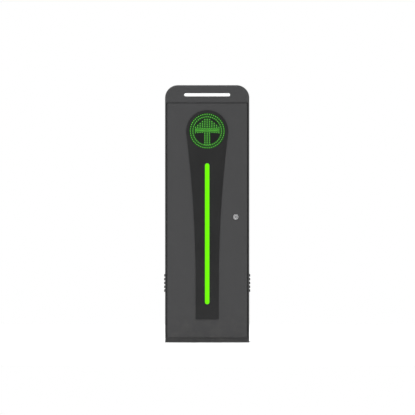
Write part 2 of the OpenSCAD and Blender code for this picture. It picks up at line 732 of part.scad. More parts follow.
module main_shaft() color([0.75, 0.75, 0.76]) {
    bar_y(0, sign_z, shaft_d / 2, lever_y0 - 6, flange_y0);
    bar_y(0, sign_z, shaft_d / 2 - 5, lever_y0 - 10, half_d + 14);
}

module arm(angle, reach, width) {
    rotate(angle) translate([0, -width / 2]) square([reach, width]);
    rotate(angle) translate([reach, 0]) circle(width / 2);
}

module boom_lever() color([0.55, 0.56, 0.57]) difference() {
    union() {
        translate([0, 0, sign_z]) along_y(lever_y0, lever_y0 + lever_t) {
            circle(shaft_d / 2 + 12);
            arm(rest_a, crank_r, arm_w);
            arm(45, spring_arm, 26);
        }
        bar_y(0, sign_z, shaft_d / 2 + 10, lever_y0, hub_y1);
    }
    bar_y(0, sign_z, shaft_d / 2, lever_y0 - 1, hub_y1 + 1);
    bar_y(pin_x, sign_z + pin_z, pin_r, lever_y0 - 1, lever_y0 + lever_t + 1);
    bar_y(spring_x, spring_pin_z, pin_r, lever_y0 - 1, lever_y0 + lever_t + 1);
}

module boom_flange() color([0.6, 0.6, 0.61]) difference() {
    union() {
        bar_y(0, sign_z, shaft_d / 2 + 8, flange_y0, half_d + 16);
        bar_y(0, sign_z, flange_d / 2, half_d + 14, half_d + 24);
    }
    bar_y(0, sign_z, shaft_d / 2 - 5, half_d, half_d + 14);
    for (a = [45 : 90 : 315])
        bar_y(flange_pcd / 2 * cos(a), sign_z + flange_pcd / 2 * sin(a), flange_hole_d / 2, half_d + 10,
            half_d + 25);
}

module sensor_cam() color([0.2, 0.2, 0.2]) difference() {
    bar_y(0, sign_z, bearing_r, cam_y0, cam_y0 + 4);
    bar_y(0, sign_z, shaft_d / 2, cam_y0 - 1, cam_y0 + 5);
    translate([0, 0, sign_z]) rotate([0, 30, 0]) block(bearing_r - 12, bearing_r + 4, cam_y0 - 1,
        cam_y0 + 5, -9, 9);
}

module spring_crossbar() color([0.8, 0.8, 0.8])
    bar_y(spring_x, spring_pin_z, pin_r, spring_ys[0] - 9, spring_ys[1] + 9);

module rod_pin() color([0.8, 0.8, 0.8]) {
    bar_y(pin_x, sign_z + pin_z, pin_r, rod_y0 - 3, lever_y0 + lever_t);
    bar_y(pin_x, sign_z + pin_z, pin_r + 3, rod_y0 - 5, rod_y0 - near_gap);
}

module output_shaft() color([0.75, 0.75, 0.76])
    bar_y(0, gear_z, output_d / 2, lever_y0 - 4, plate_y1 + 64);

module drive_crank() color([0.55, 0.56, 0.57]) difference() {
    union() {
        translate([0, 0, gear_z]) along_y(lever_y0, lever_y0 + lever_t) {
            circle(output_d / 2 + 10);
            arm(rest_a, crank_r, arm_w);
        }
        bar_y(0, gear_z, output_d / 2 + 8, lever_y0, hub_y1);
    }
    bar_y(0, gear_z, output_d / 2, lever_y0 - 1, hub_y1 + 1);
    bar_y(pin_x, gear_z + pin_z, pin_r, lever_y0 - 1, lever_y0 + lever_t + 1);
}

module crank_pin() color([0.8, 0.8, 0.8]) {
    bar_y(pin_x, gear_z + pin_z, pin_r, rod_y0 - 3, lever_y0 + lever_t);
    bar_y(pin_x, gear_z + pin_z, pin_r + 3, rod_y0 - 5, rod_y0 - near_gap);
}

module worm_wheel() color([0.72, 0.55, 0.25]) difference() {
    bar_y(0, gear_z, worm_wheel_r, plate_y1 + 26, plate_y1 + 50);
    bar_y(0, gear_z, output_d / 2, plate_y1, plate_y1 + 70);
}

module worm_shaft() color([0.75, 0.75, 0.76]) {
    bar_x(worm_y, worm_z, worm_r, -62, 130);
    bar_x(worm_y, worm_z, 12.5, -30, 30);
}

module connecting_rod() color([0.78, 0.78, 0.79]) difference() {
    union() {
        for (z = [sign_z, gear_z]) bar_y(pin_x, z + pin_z, rod_cap_r, rod_y0, rod_y0 + rod_t);
        bar_z(pin_x, rod_y0 + rod_t / 2, 6, gear_z + pin_z + 8, sign_z + pin_z - 8);
        for (z = [gear_z + pin_z + 34, sign_z + pin_z - 44])
            translate([pin_x, rod_y0 + rod_t / 2, z]) cylinder(r = 9, h = 10, $fn = 6);
    }
    bar_y(pin_x, sign_z + pin_z, pin_r + 0.3, rod_y0 - 1, rod_y0 + rod_t + 1);
    bar_y(pin_x, gear_z + pin_z, pin_r + run, rod_y0 - 1, rod_y0 + rod_t + 1);
}

module spring_shackles() color(zinc) for (y = spring_ys) difference() {
    union() {
        bar_y(spring_x, spring_pin_z, 9, y - shackle_t, y + shackle_t);
        block(spring_x - 6, spring_x + 6, y - shackle_t, y + shackle_t, spring_top + 2, spring_pin_z);
        bar_y(spring_x, shackle_pin_z, 7, y - shackle_t, y + shackle_t);
    }
    bar_y(spring_x, spring_pin_z, pin_r + run, y - shackle_t - 1, y + shackle_t + 1);
    bar_y(spring_x, shackle_pin_z, 3.5, y - shackle_t - 1, y + shackle_t + 1);
}

module hand_wheel() color([0.7, 0.1, 0.08]) difference() {
    union() {
        bar_x(worm_y, worm_z, wheel_d / 2, -80, -68);
        bar_x(worm_y, worm_z, 14, -84, -58);
    }
    bar_x(worm_y, worm_z, worm_r, -63, -57);
    difference() {
        bar_x(worm_y, worm_z, wheel_d / 2 - 7, -81, -76);
        bar_x(worm_y, worm_z, 14, -82, -75);
    }
}

base_frame();
cabinet_shell();
top_cover();
cover_seal();
cover_screws();
blank_badge();
door_gasket();
hinge_frame_leaves();
hinge_pins();
support_uprights();
chassis();
chassis_bolts();
shaft_bearings();
shaft_seal();
gearbox_case();
motor_case();
spring_bracket();
spring_eye_bolts();
balance_springs();
stop_buffers();
limit_sensors();
mounting_plate();
din_rail();
circuit_breaker();
terminal_row();
controller_case();
power_supply();
gland_plate();
cable_grommets();
front_door();
door_ribs();
fascia_panel();
sign_housing();
sign_board();
sign_leds();
light_diffuser();
light_channel();
hinge_door_leaves();
lock_housing();
lock_barrel();
lock_cam();
main_shaft();
boom_lever();
boom_flange();
sensor_cam();
spring_crossbar();
rod_pin();
output_shaft();
drive_crank();
crank_pin();
worm_wheel();
connecting_rod();
spring_shackles();
worm_shaft();
hand_wheel();
breaker_toggle();
raise_button();
stop_button();
lower_button();
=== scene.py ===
"""Parking barrier drive cabinet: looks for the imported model, laid out as an add-on and run as a script."""

import json
import math

import bmesh
import bpy
from bpy.props import FloatProperty, FloatVectorProperty, IntProperty, PointerProperty
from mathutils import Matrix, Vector


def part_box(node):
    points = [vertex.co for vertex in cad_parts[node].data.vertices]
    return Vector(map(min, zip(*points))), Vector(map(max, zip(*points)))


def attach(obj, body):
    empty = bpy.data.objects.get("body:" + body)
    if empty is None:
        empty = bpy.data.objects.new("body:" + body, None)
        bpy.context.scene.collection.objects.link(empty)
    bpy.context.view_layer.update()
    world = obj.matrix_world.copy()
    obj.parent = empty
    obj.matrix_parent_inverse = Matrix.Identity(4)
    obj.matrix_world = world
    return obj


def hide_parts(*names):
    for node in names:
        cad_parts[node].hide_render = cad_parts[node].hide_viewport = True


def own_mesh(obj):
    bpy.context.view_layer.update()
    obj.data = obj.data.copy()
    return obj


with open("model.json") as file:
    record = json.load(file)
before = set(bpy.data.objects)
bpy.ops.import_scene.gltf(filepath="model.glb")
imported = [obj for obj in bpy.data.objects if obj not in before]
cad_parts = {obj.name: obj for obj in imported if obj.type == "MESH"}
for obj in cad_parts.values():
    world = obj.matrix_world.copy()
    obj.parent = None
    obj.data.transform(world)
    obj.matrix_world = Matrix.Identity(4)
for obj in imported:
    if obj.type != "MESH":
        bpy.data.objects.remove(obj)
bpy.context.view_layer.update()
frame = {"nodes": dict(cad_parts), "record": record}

bl_info = {
    "name": "Barrier Cabinet",
    "version": (1, 0, 0),
    "blender": (4, 5, 0),
    "location": "View3D > Sidebar > Barrier Cabinet",
    "description": "Builds a parking barrier's drive cabinet around its packed frame",
    "category": "Object",
}

BODIES = frame["record"]["behaviour"]["bodies"]
MM = 0.001
QUARTER_TURN = math.pi / 2
# Points closer than this are one point, once a node's loose triangles are welded
WELD = 2e-6
# Faces that meet at less than this, in degrees, are one flat face
FLAT = 0.4
# Edges that turn by more than this, in degrees, are rounded; CORNER passes over shallow folds
CREASE = 38
CORNER = 50


# ---------------------------------------------------------------- settings

class CabinetFinish(bpy.types.PropertyGroup):
    """Colours and edge sizes of the painted cabinet"""

    paint: FloatVectorProperty(name="Paint", description="Colour of the powder coat", subtype="COLOR",
                               default=(0.0345, 0.0345, 0.0355), min=0, max=1)
    paint_roughness: FloatProperty(name="Paint roughness", description="Roughness of the powder coat",
                                   subtype="FACTOR", default=0.55, min=0, max=1)
    panel: FloatVectorProperty(name="Panel", description="Colour of the glossy front panel", subtype="COLOR",
                               default=(0.0055, 0.0055, 0.0058), min=0, max=1)
    edge: FloatProperty(name="Sheet edge", description="Rounding of the cut sheet edges", subtype="DISTANCE",
                        default=0.0005, min=0.0001, max=0.002)
    cover_edge: FloatProperty(name="Cover edge", subtype="DISTANCE",
                              description="Rounding of the top cover's front and rear edges",
                              default=0.0042, min=0.001, max=0.006)


class SignSettings(bpy.types.PropertyGroup):
    """The lit sign and light bar"""

    glow: FloatVectorProperty(name="Bar colour", description="Colour of the lit bar", subtype="COLOR",
                              default=(0.185, 0.99, 0.0), min=0, max=1)
    dot_glow: FloatVectorProperty(name="Dot colour", description="Colour of the sign's light points",
                                  subtype="COLOR", default=(0.11, 0.62, 0.05), min=0, max=1)
    dot_radius: FloatProperty(name="Dot radius", description="Radius of one light point", subtype="DISTANCE",
                              default=0.0017, min=0.0005, max=0.003)
    outer_ring: IntProperty(name="Outer ring", description="Light points in the outer ring",
                            default=48, min=12)
    inner_ring: IntProperty(name="Inner ring", description="Light points in the inner ring",
                            default=42, min=12)


class StageSettings(bpy.types.PropertyGroup):
    """Camera, floor and light"""

    lens: FloatProperty(name="Lens", description="Focal length in millimetres", default=600.0, min=50)
    frame_width: FloatProperty(name="Frame width", description="Width seen at the cabinet's front",
                               subtype="DISTANCE", default=1.6263, min=0.1)
    floor: FloatProperty(name="Floor radius", description="Radius of the floor", subtype="DISTANCE",
                         default=4.0, min=1)
    key: FloatProperty(name="Key light", description="Power of the soft front light", default=60.0, min=0)
    overhead: FloatProperty(name="Overhead light", description="Power of the soft light above",
                            default=150.0, min=0)


# ---------------------------------------------------------------- mesh tools

def only(obj):
    """Selects one object and makes it the active one."""
    bpy.ops.object.select_all(action="DESELECT")
    obj.select_set(True)
    bpy.context.view_layer.objects.active = obj
    return obj


def edit(obj, select="SELECT"):
    """Opens an object for editing with all of its mesh selected, or none of it."""
    only(obj)
    bpy.ops.object.mode_set(mode="EDIT")
    bpy.ops.mesh.select_all(action=select)


def leave():
    bpy.ops.object.mode_set(mode="OBJECT")


def apply_modifiers(obj):
    """Puts what an object's modifiers do into its mesh."""
    only(obj)
    for modifier in list(obj.modifiers):
        bpy.ops.object.modifier_apply(modifier=modifier.name)


def settle(obj):
    """Puts an object's place into its mesh."""
    only(obj)
    bpy.ops.object.transform_apply(location=True, rotation=True, scale=True)
    return obj


def smooth(obj, angle=32):
    """Shades a mesh smooth, apart from edges that turn by more than an angle in degrees."""
    only(obj)
    bpy.ops.object.shade_smooth_by_angle(angle=math.radians(angle))
    return obj


def even(obj):
    """Lets the large faces set the normals, so that flat sheet stays flat beside its rounded edges."""
    normals = obj.modifiers.new("Even", "WEIGHTED_NORMAL")
    normals.keep_sharp = True
    normals.weight = 100
    apply_modifiers(obj)
    return obj


def welded(node, name):
    """A copy of a CAD node's mesh with its loose triangles joined and its flat faces whole."""
    obj = bpy.data.objects.new(name, frame["nodes"][node].data.copy())
    obj.data.materials.clear()
    bpy.context.scene.collection.objects.link(obj)
    edit(obj)
    bpy.ops.mesh.remove_doubles(threshold=WELD)
    bpy.ops.mesh.dissolve_limited(angle_limit=math.radians(FLAT))
    leave()
    return obj


def bevelled(obj, width, segments=2, angle=CREASE):
    """Rounds the edges that turn by more than an angle in degrees."""
    bevel = obj.modifiers.new("Edge", "BEVEL")
    bevel.width = width
    bevel.segments = segments
    bevel.limit_method = "ANGLE"
    bevel.angle_limit = math.radians(angle)
    bevel.use_clamp_overlap = True
    apply_modifiers(obj)
    return even(smooth(obj))


def refined(node, width, name, segments=2, angle=CREASE):
    """A copy of a CAD node with its edges rounded."""
    return bevelled(welded(node, name), width, segments, angle)


def pick_edges(obj, test):
    """Opens an object for editing with only the edges selected that pass a test."""
    edit(obj, "DESELECT")
    mesh = bmesh.from_edit_mesh(obj.data)
    mesh.select_mode = {"EDGE"}
    for edge in mesh.edges:
        edge.select = test(edge)
    mesh.select_flush_mode()
    bmesh.update_edit_mesh(obj.data)


def join(objs, name):
    """Makes several objects into one."""
    bpy.ops.object.select_all(action="DESELECT")
    for obj in objs:
        obj.select_set(True)
    bpy.context.view_layer.objects.active = objs[0]
    if len(objs) > 1:
        bpy.ops.object.join()
    objs[0].name = name
    return objs[0]


def copies(obj, places, name):
    """One mesh with the object repeated at each place, each copy with its own points."""
    made = []
    for place in places:
        other = bpy.data.objects.new(name, obj.data.copy())
        bpy.context.scene.collection.objects.link(other)
        other.location = place
        made.append(other)
    bpy.data.objects.remove(obj)
    return settle(join(made, name))


def body_of(node):
    """The body that a CAD node belongs to."""
    return next(body for body, nodes in BODIES.items() if node in nodes)


def placed(obj, node, material, replaces=True):
    """Gives a piece its finish and the body that it rides on. A detail that's only added replaces nothing."""
    obj.data.materials.clear()
    obj.data.materials.append(material)
    for face in obj.data.polygons:
        face.material_index = 0
    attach(obj, body_of(node))
    if replaces:
        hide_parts(node)
    return obj


def place_all(rows):
    """Refines and places a piece for each row of node, piece name, edge rounding, its segments and finish."""
    for node, name, width, segments, maker in rows:
        placed(refined(node, width, name, segments), node, finish_of(maker))


def middle(node):
    """The middle of a CAD node's box."""
    low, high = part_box(node)
    return (low + high) / 2


def disc(place, radius, depth):
    """A screw head that faces the front, with a softened rim."""
    bpy.ops.mesh.primitive_cylinder_add(vertices=32, radius=radius, depth=depth, location=place,
                                        rotation=(QUARTER_TURN, 0, 0))
    return bevelled(settle(bpy.context.object), 0.2 * MM, angle=CORNER)


def slab(low, high, edge=0.4 * MM):
    """A block between two corners with softened edges."""
    low, high = Vector(low), Vector(high)
    bpy.ops.mesh.primitive_cube_add(size=1, location=(low + high) / 2)
    obj = bpy.context.object
    obj.scale = high - low
    return bevelled(settle(obj), edge, angle=CORNER)


# ---------------------------------------------------------------- shader groups

def new_group(name, inputs, outputs):
    """A shader group, with the sockets that its own nodes read from and write to."""
    tree = bpy.data.node_groups.new(name, "ShaderNodeTree")
    for label, kind, value in inputs:
        socket = tree.interface.new_socket(label, in_out="INPUT", socket_type=kind)
        if value is not None:
            socket.default_value = value
    for label in outputs:
        tree.interface.new_socket(label, in_out="OUTPUT", socket_type="NodeSocketFloat")
    return tree, tree.nodes.new("NodeGroupInput").outputs, tree.nodes.new("NodeGroupOutput").inputs


def math_node(tree, operation, a, b=None):
    """The result of a sum whose terms are numbers or sockets."""
    node = tree.nodes.new("ShaderNodeMath")
    node.operation = operation
    for socket, value in zip(node.inputs, (a, b)):
        if isinstance(value, (int, float)):
            socket.default_value = value
        elif value is not None:
            tree.links.new(value, socket)
    return node.outputs[0]


def ramp(tree, value, low, high, to_low=0.0, to_high=1.0):
    """A value carried from one range over to another, and held at its ends."""
    node = tree.nodes.new("ShaderNodeMapRange")
    for socket, given in zip(node.inputs, (value, low, high, to_low, to_high)):
        if isinstance(given, (int, float)):
            socket.default_value = given
        else:
            tree.links.new(given, socket)
    return node.outputs[0]


def noise(tree, vector, scale, detail=3.0, roughness=0.55):
    node = tree.nodes.new("ShaderNodeTexNoise")
    tree.links.new(vector, node.inputs["Vector"])
    if isinstance(scale, (int, float)):
        node.inputs["Scale"].default_value = scale
    else:
        tree.links.new(scale, node.inputs["Scale"])
    node.inputs["Detail"].default_value = detail
    node.inputs["Roughness"].default_value = roughness
    return node.outputs["Fac"]


VECTOR = ("Vector", "NodeSocketVector", None)


def grain_group():
    """Fine texture of a coated or moulded surface, with a broad unevenness of tone."""
    inputs = [VECTOR, ("Scale", "NodeSocketFloat", 900.0)]
    tree, given, out = new_group("Coat Grain", inputs, ["Height", "Tone"])
    fine = noise(tree, given["Vector"], given["Scale"], detail=2.0, roughness=0.6)
    broad = noise(tree, given["Vector"], 7.0, detail=4.0, roughness=0.6)
    tree.links.new(ramp(tree, fine, 0.3, 0.7), out["Height"])
    tree.links.new(ramp(tree, broad, 0.25, 0.75), out["Tone"])
    return tree


def wear_group():
    """Rubbed edges, broken up so that they aren't a line."""
    tree, given, out = new_group("Edge Wear", [VECTOR, ("Amount", "NodeSocketFloat", 0.5)], ["Mask"])
    rounded = tree.nodes.new("ShaderNodeBevel")
    rounded.samples = 4
    rounded.inputs["Radius"].default_value = 1.1 * MM
    bend = tree.nodes.new("ShaderNodeVectorMath")
    bend.operation = "DOT_PRODUCT"
    tree.links.new(rounded.outputs[0], bend.inputs[0])
    tree.links.new(tree.nodes.new("ShaderNodeNewGeometry").outputs["Normal"], bend.inputs[1])
    # Wear starts where the rounded normal leaves the true one, and is full well round the edge
    starts, full = 0.99, 0.88
    edge = ramp(tree, bend.outputs["Value"], starts, full)
    patches = noise(tree, given["Vector"], 60.0, detail=5.0, roughness=0.65)
    broken = math_node(tree, "MULTIPLY", edge, ramp(tree, patches, 0.48, 0.62))
    tree.links.new(math_node(tree, "MULTIPLY", broken, given["Amount"]), out["Mask"])
    return tree


def dust_group():
    """Splash and dust that is thickest near the ground and thins out upwards."""
    tree, given, out = new_group("Road Dust", [VECTOR, ("Reach", "NodeSocketFloat", 0.22)], ["Mask"])
    split = tree.nodes.new("ShaderNodeSeparateXYZ")
    tree.links.new(given["Vector"], split.inputs[0])
    fade = 1.6
    low = math_node(tree, "POWER", ramp(tree, split.outputs["Z"], 0.0, given["Reach"], 1.0, 0.0), fade)
    spots = ramp(tree, noise(tree, given["Vector"], 38.0, detail=6.0, roughness=0.7), 0.42, 0.75)
    tree.links.new(math_node(tree, "MULTIPLY", low, spots), out["Mask"])
    return tree


def brushed_group():
    """Fine parallel lines left by rolling or machining, drawn out along one axis."""
    inputs = [VECTOR, ("Stretch", "NodeSocketVector", (30.0, 900.0, 900.0))]
    tree, given, out = new_group("Tool Lines", inputs, ["Height", "Tone"])
    scaled = tree.nodes.new("ShaderNodeVectorMath")
    scaled.operation = "MULTIPLY"
    tree.links.new(given["Vector"], scaled.inputs[0])
    tree.links.new(given["Stretch"], scaled.inputs[1])
    lines = noise(tree, scaled.outputs[0], 1.0, roughness=0.6)
    clouds = noise(tree, given["Vector"], 22.0, detail=4.0)
    tree.links.new(ramp(tree, lines, 0.3, 0.7), out["Height"])
    tree.links.new(ramp(tree, clouds, 0.3, 0.7), out["Tone"])
    return tree


def painted_glow_group():
    """Painted glow: emitted light laid on the mask around the two rings and the arrow, where the sign's light
    would fall.
    """
    inputs = [VECTOR, ("Centre", "NodeSocketVector", (0.0, 0.0, 0.0))]
    tree, given, out = new_group("Painted Sign Glow", inputs, ["Mask"])
    local = tree.nodes.new("ShaderNodeVectorMath")
    local.operation = "SUBTRACT"
    tree.links.new(given["Vector"], local.inputs[0])
    tree.links.new(given["Centre"], local.inputs[1])
    split = tree.nodes.new("ShaderNodeSeparateXYZ")
    tree.links.new(local.outputs[0], split.inputs[0])
    side = math_node(tree, "ABSOLUTE", split.outputs["X"])
    height = split.outputs["Z"]
    squares = math_node(tree, "ADD", math_node(tree, "POWER", side, 2.0),
                        math_node(tree, "MULTIPLY", height, height))
    reach = math_node(tree, "POWER", squares, 0.5)
    # Each pair is the distance at which the painted glow is gone and the one at which it is full
    ring_radius, ring_half = 61 * MM, (11.5 * MM, 8 * MM)
    head_slant, head_slope = 0.7, (57 * MM, 51 * MM)
    head_foot, head_side = (-9 * MM, -5 * MM), (53 * MM, 48 * MM)
    stem_side, stem_top, arrow_reach = (14.5 * MM, 11 * MM), (0.0, -4 * MM), (62 * MM, 56 * MM)
    off_ring = math_node(tree, "ABSOLUTE", math_node(tree, "SUBTRACT", reach, ring_radius))
    ring = ramp(tree, off_ring, *ring_half)
    slope = math_node(tree, "ADD", height, math_node(tree, "MULTIPLY", side, head_slant))
    head = math_node(tree, "MULTIPLY", ramp(tree, slope, *head_slope), ramp(tree, height, *head_foot))
    head = math_node(tree, "MULTIPLY", head, ramp(tree, side, *head_side))
    stem = math_node(tree, "MULTIPLY", ramp(tree, side, *stem_side), ramp(tree, height, *stem_top))
    both = math_node(tree, "MAXIMUM", head, stem)
    arrow = math_node(tree, "MULTIPLY", both, ramp(tree, reach, *arrow_reach))
    tree.links.new(math_node(tree, "MAXIMUM", ring, arrow), out["Mask"])
    return tree


GROUP_MAKERS = {"Coat Grain": grain_group, "Edge Wear": wear_group, "Road Dust": dust_group,
                "Tool Lines": brushed_group, "Painted Sign Glow": painted_glow_group}


def group_node(tree, name, vector, **values):
    """A use of a shared group, which is made the first time that it's asked for."""
    node = tree.nodes.new("ShaderNodeGroup")
    node.node_tree = bpy.data.node_groups.get(name) or GROUP_MAKERS[name]()
    tree.links.new(vector, node.inputs["Vector"])
    for label, value in values.items():
        node.inputs[label].default_value = value
    return node.outputs


# ---------------------------------------------------------------- materials

def start(name):
    """A new material, with its tree, its shader's sockets and the object coordinates."""
    material = bpy.data.materials.new(name)
    material.use_nodes = True
    tree = material.node_tree
    coordinates = tree.nodes.new("ShaderNodeTexCoord").outputs["Object"]
    return material, tree, tree.nodes["Principled BSDF"].inputs, coordinates


def mix(tree, mask, a, b):
    """A colour between a and b, which are colours or sockets, set by a mask."""
    node = tree.nodes.new("ShaderNodeMix")
    node.data_type = "RGBA"
    for socket, value in zip((node.inputs[0], node.inputs[6], node.inputs[7]), (mask, a, b)):
        if isinstance(value, bpy.types.NodeSocket):
            tree.links.new(value, socket)
        else:
            socket.default_value = (*value, 1.0)
    return node.outputs[2]


def shade(colour, factor):
    """A colour made darker or lighter."""
    return tuple(min(1.0, c * factor) for c in colour)


def bump(tree, height, shader, strength, distance=0.1 * MM):
    """Lets a height texture tilt the surface's normals."""
    node = tree.nodes.new("ShaderNodeBump")
    node.inputs["Strength"].default_value = strength
    node.inputs["Distance"].default_value = distance
    tree.links.new(height, node.inputs["Height"])
    tree.links.new(node.outputs["Normal"], shader["Normal"])


DUST = (0.19, 0.175, 0.15)


def coated(name, colour, roughness, wear, dust=0.0, bare=(0.33, 0.33, 0.34), grain=900.0, relief=0.25):
    """Powder coat or paint over metal: grain, uneven tone, rubbed edges and road dust."""
    material, tree, shader, place = start(name)
    coat = group_node(tree, "Coat Grain", place, Scale=grain)
    tone = mix(tree, coat["Tone"], shade(colour, 0.97), shade(colour, 1.03))
    rubbed = mix(tree, group_node(tree, "Edge Wear", place, Amount=wear)["Mask"], tone, bare)
    haze = math_node(tree, "MULTIPLY", group_node(tree, "Road Dust", place)["Mask"], dust)
    tree.links.new(mix(tree, haze, rubbed, DUST), shader["Base Color"])
    sheen = ramp(tree, coat["Tone"], 0.0, 1.0, roughness - 0.02, roughness + 0.03)
    tree.links.new(sheen, shader["Roughness"])
    shader["Specular IOR Level"].default_value = 0.26
    bump(tree, coat["Height"], shader, relief, 0.2 * MM)
    return material


def metal(name, colour, roughness, stretch=(40.0, 900.0, 900.0), relief=0.18, stain=0.8):
    """Bare or plated metal with its rolling or turning lines and a little staining."""
    material, tree, shader, place = start(name)
    lines = group_node(tree, "Tool Lines", place, Stretch=stretch)
    tone = mix(tree, lines["Tone"], shade(colour, stain), shade(colour, 1.08))
    tree.links.new(mix(tree, lines["Height"], tone, colour), shader["Base Color"])
    sheen = ramp(tree, lines["Tone"], 0.0, 1.0, roughness + 0.1, roughness - 0.04)
    tree.links.new(sheen, shader["Roughness"])
    shader["Metallic"].default_value = 1.0
    bump(tree, lines["Height"], shader, relief)
    return material


def moulded(name, colour, roughness, grain=1400.0, relief=0.15, coat=0.0, gleam=0.4):
    """Moulded plastic or rubber."""
    material, tree, shader, place = start(name)
    skin = group_node(tree, "Coat Grain", place, Scale=grain)
    tree.links.new(mix(tree, skin["Tone"], shade(colour, 0.86), shade(colour, 1.1)), shader["Base Color"])
    sheen = ramp(tree, skin["Tone"], 0.0, 1.0, roughness - 0.04, roughness + 0.06)
    tree.links.new(sheen, shader["Roughness"])
    shader["Coat Weight"].default_value = coat
    shader["Specular IOR Level"].default_value = gleam
    bump(tree, skin["Height"], shader, relief)
    return material


def spangled(name, colour):
    """Galvanised sheet with its faint crystal flakes."""
    material, tree, shader, place = start(name)
    flakes = tree.nodes.new("ShaderNodeTexVoronoi")
    flakes.inputs["Scale"].default_value = 260.0
    tree.links.new(place, flakes.inputs["Vector"])
    split = tree.nodes.new("ShaderNodeSeparateColor")
    tree.links.new(flakes.outputs["Color"], split.inputs[0])
    skin = group_node(tree, "Coat Grain", place, Scale=500.0)
    tone = mix(tree, split.outputs[0], shade(colour, 0.95), shade(colour, 1.02))
    tree.links.new(tone, shader["Base Color"])
    tree.links.new(ramp(tree, split.outputs[1], 0.0, 1.0, 0.40, 0.45), shader["Roughness"])
    shader["Metallic"].default_value = 1.0
    bump(tree, skin["Height"], shader, 0.06)
    return material


def glowing(name, colour, strength, body):
    """A lit plastic whose light is slightly uneven."""
    material, tree, shader, place = start(name)
    skin = group_node(tree, "Coat Grain", place, Scale=500.0)
    tree.links.new(mix(tree, skin["Tone"], shade(colour, 0.95), colour), shader["Emission Color"])
    tree.links.new(mix(tree, skin["Tone"], shade(body, 0.8), body), shader["Base Color"])
    shader["Emission Strength"].default_value = strength
    shader["Roughness"].default_value = 0.35
    shader["Specular IOR Level"].default_value = 0.08
    bump(tree, skin["Height"], shader, 0.03)
    return material


def powder_coat():
    finish = bpy.context.scene.cabinet_finish
    return coated("Charcoal Powder Coat", tuple(finish.paint), finish.paint_roughness, wear=0.1, dust=0.1)


def panel_gloss():
    panel = tuple(bpy.context.scene.cabinet_finish.panel)
    return moulded("Gloss Black Panel", panel, 0.3, grain=2200.0, relief=0.03, gleam=0.3)


def sign_face():
    """The black mask, with a painted glow where the sign's light would fall on it."""
    material = moulded("Sign Mask", (0.004, 0.005, 0.004), 0.6, grain=1800.0, relief=0.3, gleam=0.15)
    tree = material.node_tree
    shader = tree.nodes["Principled BSDF"].inputs
    painted_glow = group_node(tree, "Painted Sign Glow", tree.nodes.new("ShaderNodeTexCoord").outputs["Object"],
                       Centre=middle("sign_board"))
    # Strength of the painted glow: emission laid on the mask, not light thrown by the points
    strength = 0.035
    shader["Emission Color"].default_value = (0.12, 1.0, 0.09, 1.0)
    tree.links.new(math_node(tree, "MULTIPLY", painted_glow["Mask"], strength), shader["Emission Strength"])
    return material


def black_plastic():
    return moulded("Black Housing Plastic", (0.022, 0.022, 0.024), 0.55, grain=1300.0, relief=0.35)


def bar_light():
    glow = tuple(bpy.context.scene.sign_settings.glow)
    return glowing("Light Bar Diffuser", glow, strength=1.0, body=(0.0, 0.01, 0.0))


def dot_light():
    glow = tuple(bpy.context.scene.sign_settings.dot_glow)
    return glowing("Sign Light Point", glow, strength=1.35, body=(0.02, 0.09, 0.01))


def zinc():
    return spangled("Galvanised Steel", (0.60, 0.61, 0.62))


def plated():
    return metal("Zinc Plated Fittings", (0.62, 0.62, 0.60), 0.3, stretch=(500.0, 500.0, 500.0), relief=0.06)


def ground_steel():
    return metal("Ground Steel", (0.53, 0.53, 0.54), 0.27, stretch=(900.0, 60.0, 900.0), relief=0.14)


def spring_steel():
    return metal("Oiled Spring Steel", (0.16, 0.16, 0.17), 0.32, stretch=(700.0, 700.0, 200.0), relief=0.1)


def lever_paint():
    return coated("Drive Lever Enamel", (0.30, 0.31, 0.32), 0.42, wear=0.5, grain=700.0)


def chassis_paint():
    return coated("Chassis Enamel", (0.22, 0.235, 0.245), 0.5, wear=0.4, grain=600.0)


def bearing_paint():
    return coated("Bearing Housing Enamel", (0.05, 0.12, 0.19), 0.45, wear=0.5, grain=260.0, relief=0.5)


def motor_paint():
    return coated("Motor Enamel", (0.055, 0.06, 0.068), 0.45, wear=0.35, grain=400.0, relief=0.4)


def cast_alloy():
    return coated("Cast Gearbox Alloy", (0.42, 0.43, 0.44), 0.5, wear=0.5, bare=(0.7, 0.7, 0.7),
                  grain=330.0, relief=0.6)


def chrome():
    return metal("Chromed Lock", (0.80, 0.80, 0.81), 0.16, stretch=(400.0, 400.0, 400.0),
                 relief=0.02, stain=0.95)


def lock_face():
    return metal("Lock Barrel", (0.30, 0.30, 0.31), 0.35, stretch=(800.0, 800.0, 800.0),
                 relief=0.06, stain=0.85)


def rubber():
    return moulded("Black Rubber", (0.016, 0.016, 0.017), 0.78, grain=900.0, relief=0.4)


def bronze():
    return metal("Worm Wheel Bronze", (0.62, 0.40, 0.16), 0.35)


def brass():
    return metal("Nickelled Brass", (0.70, 0.56, 0.30), 0.3, stretch=(600.0, 600.0, 80.0), relief=0.1)


def badge_white():
    return moulded("Blank Badge", (0.80, 0.80, 0.80), 0.35, grain=2400.0, relief=0.04, coat=0.2)


def pale_plastic():
    return moulded("Pale Device Plastic", (0.62, 0.63, 0.61), 0.5, grain=1500.0, relief=0.2)


def terminal_green():
    return moulded("Terminal Green", (0.03, 0.24, 0.09), 0.48, grain=1500.0)


def window_dark():
    return moulded("Dark Display Window", (0.01, 0.014, 0.018), 0.14, grain=2400.0, relief=0.02, coat=0.6)


def red_plastic():
    return moulded("Red Plastic", (0.50, 0.018, 0.015), 0.38, grain=1500.0, relief=0.12, coat=0.2)


def green_plastic():
    return moulded("Green Button", (0.02, 0.28, 0.05), 0.38, grain=1500.0, relief=0.1, coat=0.2)


def yellow_plastic():
    return moulded("Yellow Button", (0.70, 0.42, 0.015), 0.38, grain=1500.0, relief=0.1, coat=0.2)


MADE = {}


def finish_of(maker):
    """The material that a maker makes, made once."""
    if maker not in MADE:
        MADE[maker] = maker()
    return MADE[maker]


# ---------------------------------------------------------------- operators

